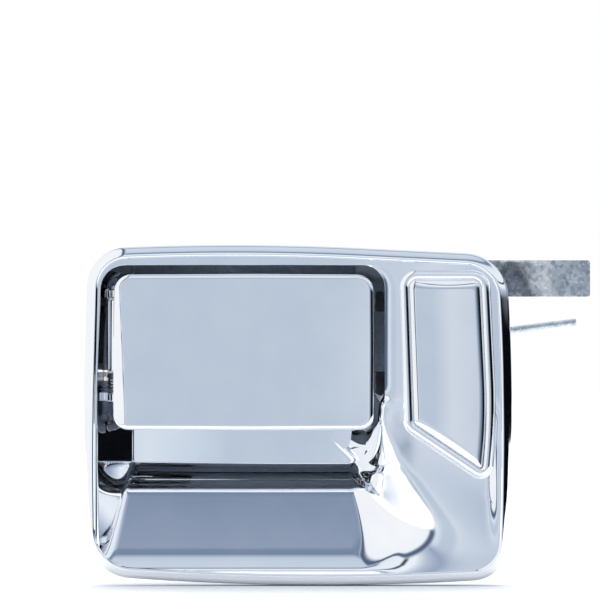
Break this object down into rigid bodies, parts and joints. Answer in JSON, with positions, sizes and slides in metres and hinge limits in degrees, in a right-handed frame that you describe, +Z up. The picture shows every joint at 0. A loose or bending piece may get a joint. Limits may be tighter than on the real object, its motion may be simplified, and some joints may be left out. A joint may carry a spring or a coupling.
{
  "type": "vehicle door handle",
  "caption": "Chromed outer door handle: cast bezel with a hand pocket, a side-hinged pull paddle, a blank lock pad, a threaded link rod and a hook strap.",
  "frame": {"origin": "middle of the bezel on the door's outer skin, the plane of the gasket's rear face", "axes": "+X along the door towards its latch edge, +Y into the door, +Z up; the handle's face looks along -Y"},
  "size_m": [0.2496, 0.0621, 0.1671],
  "materials": {
    "bezel_chrome": "bright chrome plate on a zinc casting",
    "pad_chrome": "bright chrome plate",
    "paddle_chrome": "bright chrome plate",
    "spring_steel": "dark oiled spring steel",
    "pin_steel": "ground steel",
    "stud_zinc": "zinc plated",
    "screw_zinc": "zinc plated",
    "strap_zinc": "dull zinc plate, mottled",
    "lever_zinc": "dull zinc plate",
    "rod_zinc": "zinc plated",
    "seal_rubber": "matt black",
    "gasket_rubber": "matt black closed-cell foam",
    "nylon": "natural nylon"
  },
  "bodies": {
    "bezel": {"bezel_casting": "bezel_chrome", "lock_blank": "pad_chrome", "lock_blank_clip": "spring_steel", "lock_seal": "seal_rubber", "door_gasket": "gasket_rubber", "mounting_studs": "stud_zinc", "hook_strap": "strap_zinc", "strap_screws": "screw_zinc", "strap_washers": "screw_zinc", "hinge_pin": "pin_steel", "pin_clip": "spring_steel", "hinge_washer": "pin_steel", "return_spring": "spring_steel", "paddle_bumpers": "seal_rubber", "lever_stop_pad": "seal_rubber"},
    "paddle": {"paddle": "paddle_chrome", "hinge_bushes": "nylon", "release_lever": "lever_zinc", "lever_screws": "screw_zinc"},
    "rod": {"link_rod": "rod_zinc", "rod_clip": "nylon"}
  },
  "joints": [
    {"name": "paddle_pull", "type": "hinge", "parent": "bezel", "child": "paddle", "pos_m": [-0.0885, -0.004, 0.0395], "axis": [0, 0, -1], "range_deg": [0, 22], "stiffness_Nm_per_rad": 1.2, "springref_deg": -20.05, "deforming": ["return_spring"]},
    {"name": "rod_swivel", "type": "hinge", "parent": "paddle", "child": "rod", "pos_m": [-0.09173, 0.03286, 0.0195], "axis": [0, 0, -1], "range_deg": [-23, 1]}
  ],
  "couplings": [
    {"joint": "rod_swivel", "follows": "paddle_pull", "ratio": -1}
  ]
}
